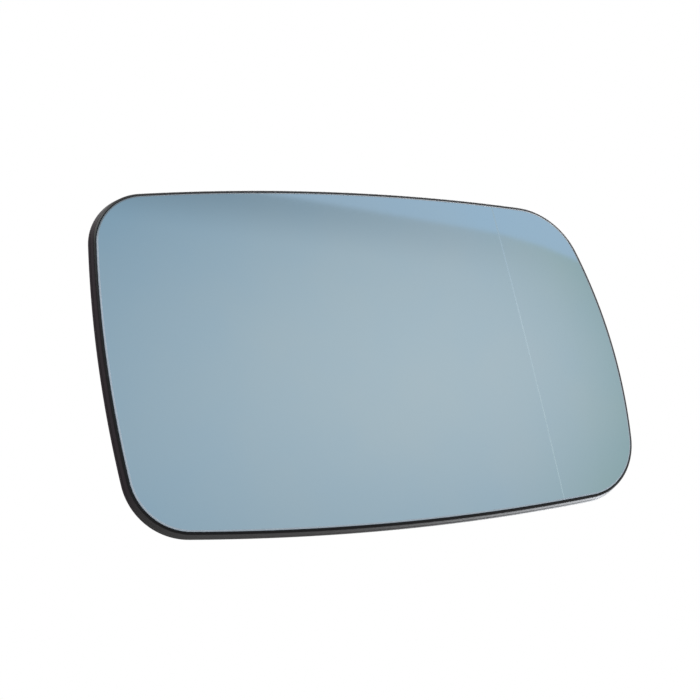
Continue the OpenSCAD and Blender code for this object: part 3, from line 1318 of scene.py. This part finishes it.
@dataclass
class HeaterTerminals:
    """The two bent blades of the heater and their rivets."""

    x: float = -50.0
    pitch: float = 19.0
    film_top: float = 2.05
    film_thickness: float = 0.3
    bond: float = 0.05
    strip: float = 0.8
    blade_width: float = 6.3
    blade_length: float = 8.0
    foot_length: float = 7.0
    bend_inside: float = 0.3
    detent_diameter: float = 1.7
    detent_at: float = 4.3
    edge_break: float = 0.08
    rivet_diameter: float = 2.2
    rivet_sides: int = 48
    head_diameter: float = 3.8
    head_height: float = 0.5

    @property
    def foot_depth(self) -> float:
        """Depth of the foot's front face below the glass face."""
        return self.film_top + self.film_thickness + self.bond

    def seat(self, side: int, depth: float) -> Matrix:
        """Gives the place of one terminal on the foil, at a depth below the glass face."""
        return SURFACE.seat(self.x, side * self.pitch / 2, depth)

    def strip_profile(self) -> list[Vector]:
        """Gives the bent strip seen from its side, as (across the foot, behind the foil)."""
        end = self.foot_length / 2
        tip = -self.strip - self.blade_length
        inside = self.bend_inside
        outside = inside + self.strip
        middle = Vector((-end + outside, -outside))
        return (
            [Vector((end, 0.0))]
            + arc_points(middle, outside, 90.0, 180.0, 7)
            + [Vector((-end, tip)), Vector((-end + self.strip, tip))]
            + arc_points(middle, inside, 180.0, 90.0, 7)
            + [Vector((end, -self.strip))]
        )

    def blade(self, side: int, name: str) -> bpy.types.Object:
        """Draws one terminal: foot, bend and blade with its tapered tip and detent hole.

        Args:
            side: 1 for the upper terminal and -1 for the lower.
            name: The piece's name.

        Returns:
            The terminal, with sheared sides in its second slot.
        """
        half = self.blade_width / 2
        bevel = self.blade_width / 8
        draft = MeshDraft()
        draft.extrude(self.strip_profile(), -half, half)
        draft.place(STAND_UP)
        tip = -self.strip - self.blade_length
        for way in (-1, 1):
            bmesh.ops.bisect_plane(
                draft.mesh, geom=draft.mesh.verts[:] + draft.mesh.edges[:] + draft.mesh.faces[:],
                dist=1e-6, plane_co=(0.0, way * half, tip + bevel), plane_no=(0.0, way, -1.0),
                clear_outer=True,
            )
            rim = [edge for edge in draft.mesh.edges if edge.is_boundary]
            bmesh.ops.contextual_create(draft.mesh, geom=rim)
        draft.break_edges(self.edge_break, least_angle=40.0)
        draft.place(self.seat(side, self.foot_depth))
        piece = draft.piece(name)
        combine(piece, [self.detent(side), self.rivet_hole(side)], Joining.DIFFERENCE)
        smooth_by_angle(piece)
        self.mark_sides(piece)
        return piece

    def detent(self, side: int) -> bpy.types.Object:
        """Draws what the detent hole cuts from the blade."""
        draft = MeshDraft()
        radius = self.detent_diameter / 2
        draft.turned([(radius, -self.strip), (radius, self.strip)], ROUND_SIDES)
        along = Matrix.Rotation(math.radians(90.0), 4, "Y")
        height = self.detent_at - self.strip - self.blade_length
        at = Matrix.Translation((-self.foot_length / 2 + self.strip / 2, 0.0, height))
        draft.place(self.seat(side, self.foot_depth) @ at @ along)
        return draft.piece("detent")

    def rivet_hole(self, side: int) -> bpy.types.Object:
        """Draws what the rivet's hole cuts from the foot."""
        draft = MeshDraft()
        radius = self.rivet_diameter / 2 + self.bond
        draft.turned([(radius, -2 * self.strip), (radius, self.strip)], ROUND_SIDES)
        draft.place(self.seat(side, self.foot_depth))
        return draft.piece("rivet_hole")

    @staticmethod
    def mark_sides(piece: bpy.types.Object) -> None:
        """Gives the strip's sheared sides the second slot."""
        facing_aside = 0.8
        for polygon in piece.data.polygons:
            polygon.material_index = int(abs(polygon.normal.z) > facing_aside)

    def rivets(self) -> bpy.types.Object:
        """Draws both rivets, each a shank and a spun head, as one piece."""
        stack = self.film_thickness + self.bond + self.strip
        head = self.head_diameter / 2
        shank = self.rivet_diameter / 2
        low = -stack - self.head_height
        dome = [
            (shank, 0.0), (shank, -stack), (head - 0.06, -stack), (head, -stack - 0.08),
            (head * 0.96, low + 0.2), (head * 0.8, low + 0.07), (head * 0.5, low + 0.01),
            (head * 0.3, low), (head * 0.18, low + 0.06), (head * 0.06, low + 0.08),
        ]
        draft = MeshDraft()
        for side in (-1, 1):
            one = MeshDraft()
            one.turned(dome, self.rivet_sides)
            one.place(self.seat(side, self.film_top))
            holder = bpy.data.meshes.new("rivet")
            one.mesh.to_mesh(holder)
            one.mesh.free()
            draft.mesh.from_mesh(holder)
            bpy.data.meshes.remove(holder)
        piece = draft.piece("spun_rivets")
        smooth_by_angle(piece, least_angle=50.0)
        return piece

    def build(self) -> dict[str, bpy.types.Object]:
        """Builds the terminals and the rivets, by the node that each stands for."""
        return {
            "terminal_upper": self.blade(1, "upper_heater_blade"),
            "terminal_lower": self.blade(-1, "lower_heater_blade"),
            "terminal_rivets": self.rivets(),
        }

    def dress(self, pieces: dict[str, bpy.types.Object]) -> None:
        """Gives the blades their tin and the rivets their brass."""
        tin = TIN_PLATE.build()
        sheared = SHEARED_BRASS.build()
        spun = SPUN_BRASS.build()
        for node, piece in pieces.items():
            rivets = node == "terminal_rivets"
            dress(piece, *([spun] if rivets else [tin, sheared]))
            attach(piece, "root")
            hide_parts(node)


class Stance(Enum):
    """How a card stands in the studio, as its turns about the car's axes in degrees."""

    UPRIGHT = (90.0, 0.0, 0.0)
    SIDEWAYS = (90.0, 0.0, 90.0)
    LYING = (0.0, 0.0, 0.0)


@dataclass(frozen=True)
class StudioCard:
    """A flat card that only reflections see, as a studio uses to shape them.

    Its colour runs from one side to the other, over the ramp. Lengths are in metres, across and up
    the card.
    """

    name: str
    place: Place
    stance: Stance
    across: Span
    up: Span
    left: str
    right: str
    ramp: Span = (-0.5, 0.5)
    power: float = 1.0

    def side_shade(
        self, tree: bpy.types.NodeTree, across: bpy.types.NodeSocket
    ) -> bpy.types.NodeSocket:
        """Runs the colour from the left tone to the right tone."""
        share = add_node(tree, "MapRange", {
            "Value": across, "From Min": self.ramp[0], "From Max": self.ramp[1],
        })
        return blend_of(tree, share.outputs["Result"], self.left, self.right)

    def colour(self, tree: bpy.types.NodeTree) -> bpy.types.NodeSocket:
        """Builds the card's colour."""
        place = add_node(tree, "TexCoord").outputs["Object"]
        parts = add_node(tree, "SeparateXYZ", {"Vector": place})
        return self.side_shade(tree, parts.outputs["X"])

    def build(self) -> None:
        """Builds the card, seen by reflections alone."""
        shape = [corner.to_3d() for corner in rectangle(self.across, self.up)]
        data = bpy.data.meshes.new(self.name)
        data.from_pydata(shape, [], [(0, 1, 2, 3)])
        card = bpy.data.objects.new(self.name, data)
        bpy.context.scene.collection.objects.link(card)
        card.rotation_euler = tuple(math.radians(turn) for turn in self.stance.value)
        card.location = self.place
        card.visible_camera = False
        card.visible_diffuse = False
        card.visible_transmission = False
        card.visible_shadow = False
        made, tree = new_material(self.name)
        close_material(tree, add_node(tree, "Emission", {
            "Color": self.colour(tree), "Strength": self.power,
        }))
        dress(card, made)


@dataclass(frozen=True)
class MirroredCard(StudioCard):
    """The tall card that the glass shows.

    It glows below a bowed edge, is pale blue above it, and turns white beyond its ramp. Of the
    numbers of its edge, the first is its height, the second its slope and the third its bow.
    """

    glow: str = "#ffffff"
    glow_at: Span = (0.0, 0.0)
    glow_reach: Span = (1.0, 1.0)
    glow_lean: float = 0.0
    edge: Place = (0.0, 0.0, 0.0)
    edge_blur: float = 0.01
    shade: Span = (0.0, 0.0)
    shade_ramp: Span = (0.0, 1.0)
    shade_reach: float = 0.1
    upper_left: str = "#ffffff"
    upper_right: str = "#ffffff"
    upper_ramp: Span = (0.0, 1.0)
    beyond: str = "#ffffff"
    beyond_ramp: Span = (2.0, 3.0)

    def lower_colour(
        self,
        tree: bpy.types.NodeTree,
        place: bpy.types.NodeSocket,
        across: bpy.types.NodeSocket,
    ) -> bpy.types.NodeSocket:
        """Builds the lower part's colour: a leaning oval glow over the side shade.

        Args:
            tree: The card's node tree.
            place: The point on the card.
            across: Its distance across the card.

        Returns:
            The colour's socket.
        """
        oval = add_node(tree, "Mapping", {
            "Vector": place, "Location": (*self.glow_at, 0.0), "Scale": (*self.glow_reach, 1.0),
            "Rotation": (0.0, 0.0, math.radians(self.glow_lean)),
        }, vector_type="TEXTURE")
        far = add_node(tree, "VectorMath", {0: oval.outputs["Vector"]}, operation="LENGTH")
        near = add_node(tree, "MapRange", {
            "Value": far.outputs["Value"], "From Min": 1.0, "From Max": 0.0,
        }, interpolation_type="SMOOTHSTEP")
        return blend_of(tree, near.outputs["Result"], self.side_shade(tree, across), self.glow)

    def below_edge(
        self,
        tree: bpy.types.NodeTree,
        across: bpy.types.NodeSocket,
        up: bpy.types.NodeSocket,
    ) -> bpy.types.NodeSocket:
        """Measures how far a point lies below the bowed edge.

        Args:
            tree: The card's node tree.
            across: The point's distance across the card.
            up: Its height on the card.

        Returns:
            The distance's socket.
        """
        height, slope, bow = self.edge
        slant = add_node(tree, "Math", {0: across, 1: bow, 2: slope}, operation="MULTIPLY_ADD")
        edge = add_node(
            tree, "Math", {0: slant.outputs[0], 1: across, 2: height}, operation="MULTIPLY_ADD"
        )
        below = add_node(tree, "Math", {0: edge.outputs[0], 1: up}, operation="SUBTRACT")
        return below.outputs[0]

    def colour(self, tree: bpy.types.NodeTree) -> bpy.types.NodeSocket:
        """Builds the card's colour from the glow, the shade under the edge and the upper part."""
        place = add_node(tree, "TexCoord").outputs["Object"]
        parts = add_node(tree, "SeparateXYZ", {"Vector": place})
        across = parts.outputs["X"]
        below = self.below_edge(tree, across, parts.outputs["Y"])
        depth = add_node(tree, "MapRange", {
            "Value": across, "From Min": self.shade_ramp[0], "From Max": self.shade_ramp[1],
            "To Min": self.shade[0], "To Max": self.shade[1],
        })
        shade = add_node(tree, "MapRange", {
            "Value": below, "From Min": self.shade_reach, "From Max": 0.0,
            "To Min": 0.0, "To Max": depth.outputs["Result"],
        }, interpolation_type="SMOOTHSTEP")
        lower = self.lower_colour(tree, place, across)
        lower = blend_of(tree, shade.outputs["Result"], lower, "#000000")
        run = add_node(tree, "MapRange", {
            "Value": across, "From Min": self.upper_ramp[0], "From Max": self.upper_ramp[1],
        })
        upper = blend_of(tree, run.outputs["Result"], self.upper_left, self.upper_right)
        above = add_node(tree, "MapRange", {
            "Value": below, "From Min": self.edge_blur, "From Max": -self.edge_blur,
        }, interpolation_type="SMOOTHSTEP")
        inside = blend_of(tree, above.outputs["Result"], lower, upper)
        out = add_node(tree, "MapRange", {
            "Value": across, "From Min": self.beyond_ramp[0], "From Max": self.beyond_ramp[1],
        }, interpolation_type="SMOOTHSTEP")
        return blend_of(tree, out.outputs["Result"], inside, self.beyond)


@dataclass
class Studio:
    """The pale floor, the white surroundings, the lamps and the cards."""

    floor_drop: float = 0.42
    floor_span: float = 12.0
    floor_colour: str = "#f1f1ef"
    ambient: float = 0.75
    key_power: float = 7.0
    fill_power: float = 3.0

    def floor(self) -> None:
        """Lays the paper floor well below the part, which hangs from its mount."""
        bpy.ops.mesh.primitive_grid_add(size=self.floor_span, x_subdivisions=4, y_subdivisions=4)
        plane = bpy.context.object
        plane.name = "studio_floor"
        plane.location = (0.0, 0.0, -self.floor_drop)
        made, tree = new_material("matt_studio_paper")
        place = add_node(tree, "TexCoord").outputs["Object"]
        fibre = add_node(tree, "TexNoise", {"Vector": place, "Scale": per_mm(4.0), "Detail": 3.0})
        bump = add_node(tree, "Bump", {
            "Height": fibre.outputs["Fac"], "Strength": 0.1, "Distance": metres(0.2),
        })
        close_material(tree, add_node(tree, "BsdfPrincipled", {
            "Base Color": srgb(self.floor_colour), "Roughness": 0.95, "Specular IOR Level": 0.1,
            "Normal": bump.outputs["Normal"],
        }))
        dress(plane, made)

    def world(self) -> None:
        """Makes the surroundings white to the eye and to reflections, and softer as light."""
        world = bpy.data.worlds.new("white_surroundings")
        bpy.context.scene.world = world
        world.use_nodes = True
        tree = world.node_tree
        tree.nodes.clear()
        path = add_node(tree, "LightPath")
        seen = add_node(tree, "Math", {
            0: path.outputs["Is Camera Ray"], 1: path.outputs["Is Glossy Ray"],
        }, operation="MAXIMUM")
        seen = add_node(tree, "Math", {
            0: seen.outputs[0], 1: path.outputs["Is Transmission Ray"],
        }, operation="MAXIMUM")
        white = srgb("#ffffff")
        light = add_node(tree, "Background", {"Color": white, "Strength": self.ambient})
        shown = add_node(tree, "Background", {"Color": white, "Strength": 1.0})
        mixed = add_node(tree, "MixShader", {
            0: seen.outputs[0], 1: light.outputs[0], 2: shown.outputs[0],
        })
        add_node(tree, "OutputWorld", {"Surface": mixed.outputs[0]})

    def lamp(self, name: str, place: Place, size: float, power: float) -> None:
        """Hangs a square softbox that faces the part.

        Args:
            name: The lamp's name.
            place: Where it hangs, in metres.
            size: Its side, in metres.
            power: Its power, in watts.
        """
        data = bpy.data.lights.new(name, "AREA")
        data.shape = "SQUARE"
        data.size = size
        data.energy = power
        lamp = bpy.data.objects.new(name, data)
        lamp.location = place
        lamp.rotation_euler = (-Vector(place)).to_track_quat("-Z", "Y").to_euler()
        bpy.context.scene.collection.objects.link(lamp)

    def cards(self) -> list[StudioCard]:
        """Lists the cards that the glass and the rim reflect, in the car's own axes."""
        foot = 0.01 - self.floor_drop
        low = (0.0, 0.0, foot)
        front = (0.0, -1.5, 0.0)
        return [
            MirroredCard(
                "mirrored_card", front, Stance.UPRIGHT, across=(-0.6, 2.7), up=(-1.7, 1.9),
                left="#a3c3d2", right="#7cb19d", ramp=(0.9, 1.212),
                glow="#fcfcf5", glow_at=(0.835, 0.402), glow_reach=(1.595, 0.842), glow_lean=9.5,
                edge=(0.8082, -0.1724, 0.0672), edge_blur=0.008,
                shade=(0.235, 0.0), shade_ramp=(0.3, 1.2), shade_reach=0.12,
                upper_left="#d9e2e7", upper_right="#e4f3fb", upper_ramp=(0.23, 0.967),
                beyond="#f4f8fa", beyond_ramp=(1.4, 2.4),
            ),
            StudioCard(
                "rear_side_flag", (0.0, 1.0, 0.0), Stance.UPRIGHT, across=(-1.3, 0.15),
                up=(foot, 0.92), left="#93878f", right="#cccccc", ramp=(-0.45, 0.15),
            ),
            StudioCard(
                "rear_low_flag", low, Stance.LYING, across=(-1.3, 0.52), up=(0.3, 1.2),
                left="#9b9a9c", right="#ffffff", ramp=(0.28, 0.56),
            ),
            StudioCard(
                "rear_low_light", low, Stance.LYING, across=(0.52, 1.5), up=(0.3, 1.6),
                left="#9a9a9a", right="#f4f8ff", ramp=(0.52, 0.84), power=5.5,
            ),
            StudioCard(
                "front_side_flag", front, Stance.UPRIGHT, across=(-2.6, -0.6), up=(foot, 1.9),
                left="#8c8c90", right="#a9c2cf", ramp=(-1.2, -0.6),
            ),
            StudioCard(
                "inner_side_flag", (-1.3, 0.0, 0.0), Stance.SIDEWAYS, across=(-1.05, 1.0),
                up=(foot, 1.9), left="#8c8c90", right="#93878f", ramp=(-0.4, 0.6),
            ),
            StudioCard(
                "front_low_flag", low, Stance.LYING, across=(-2.6, 0.9), up=(-1.5, -0.02),
                left="#8c8c90", right="#f0f0f0", ramp=(0.3, 0.9),
            ),
            StudioCard(
                "rear_edge_light", low, Stance.LYING, across=(0.32, 1.5), up=(0.01, 0.3),
                left="#8a8a8a", right="#dcebf6", ramp=(0.32, 0.42), power=3.0,
            ),
            StudioCard(
                "rear_high_light", (0.0, 0.0, 1.5), Stance.LYING, across=(0.3, 2.4),
                up=(0.01, 2.0), left="#8c8c8c", right="#fafcff", ramp=(0.26, 0.56), power=6.0,
            ),
        ]

    def build(self) -> None:
        """Builds the whole studio."""
        self.floor()
        self.world()
        for card in self.cards():
            card.build()
        self.lamp("key_softbox", (-0.9, -0.8, 1.1), 0.9, self.key_power)
        self.lamp("back_softbox", (0.7, 1.0, 0.8), 0.8, self.fill_power)


@dataclass(frozen=True)
class PhotoCamera:
    """The camera of the photograph, in degrees and millimetres."""

    azimuth: float = -22.29
    elevation: float = -14.41
    roll: float = -5.89
    distance: float = 510.3
    aim: Place = (-6.46, -14.0, 2.08)
    focal_length: float = 90.0
    sensor: float = 36.0

    def build(self) -> None:
        """Stands the camera where the photograph was taken from."""
        azimuth = math.radians(self.azimuth)
        elevation = math.radians(self.elevation)
        back = Vector((
            math.sin(azimuth) * math.cos(elevation),
            -math.cos(azimuth) * math.cos(elevation),
            math.sin(elevation),
        ))
        right = (-back).cross(Vector((0.0, 0.0, 1.0))).normalized()
        axes = Matrix((right, back.cross(right), back)).transposed().to_4x4()
        data = bpy.data.cameras.new("photo_camera")
        data.lens = self.focal_length
        data.sensor_width = self.sensor
        data.clip_start = 0.01
        camera = bpy.data.objects.new("photo_camera", data)
        place = (Vector(self.aim) + self.distance * back) * metres(1.0)
        roll = Matrix.Rotation(math.radians(self.roll), 4, "Z")
        camera.matrix_world = Matrix.Translation(place) @ axes @ roll
        bpy.context.scene.collection.objects.link(camera)
        bpy.context.scene.camera = camera


def main() -> None:
    """Builds and dresses every piece, then the studio and the camera."""
    logging.basicConfig(level=logging.INFO, format="%(name)s: %(message)s")
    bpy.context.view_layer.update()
    PhotoCamera().build()
    glass = MirrorGlass()
    pane = glass.build()
    glass.dress(pane)
    LOG.info("%s: %d faces", pane.name, len(pane.data.polygons))
    HeaterFilm().dress()
    LOG.info("heater foil dressed")
    plate = BackingPlate()
    moulding = plate.build()
    plate.dress(moulding)
    LOG.info("%s: %d faces", moulding.name, len(moulding.data.polygons))
    RetainingRing().dress()
    LOG.info("retaining ring dressed")
    terminals = HeaterTerminals()
    pieces = terminals.build()
    terminals.dress(pieces)
    for piece in pieces.values():
        LOG.info("%s: %d faces", piece.name, len(piece.data.polygons))
    Studio().build()
    bpy.context.scene.view_settings.view_transform = "Standard"


if __name__ == "__main__":
    main()
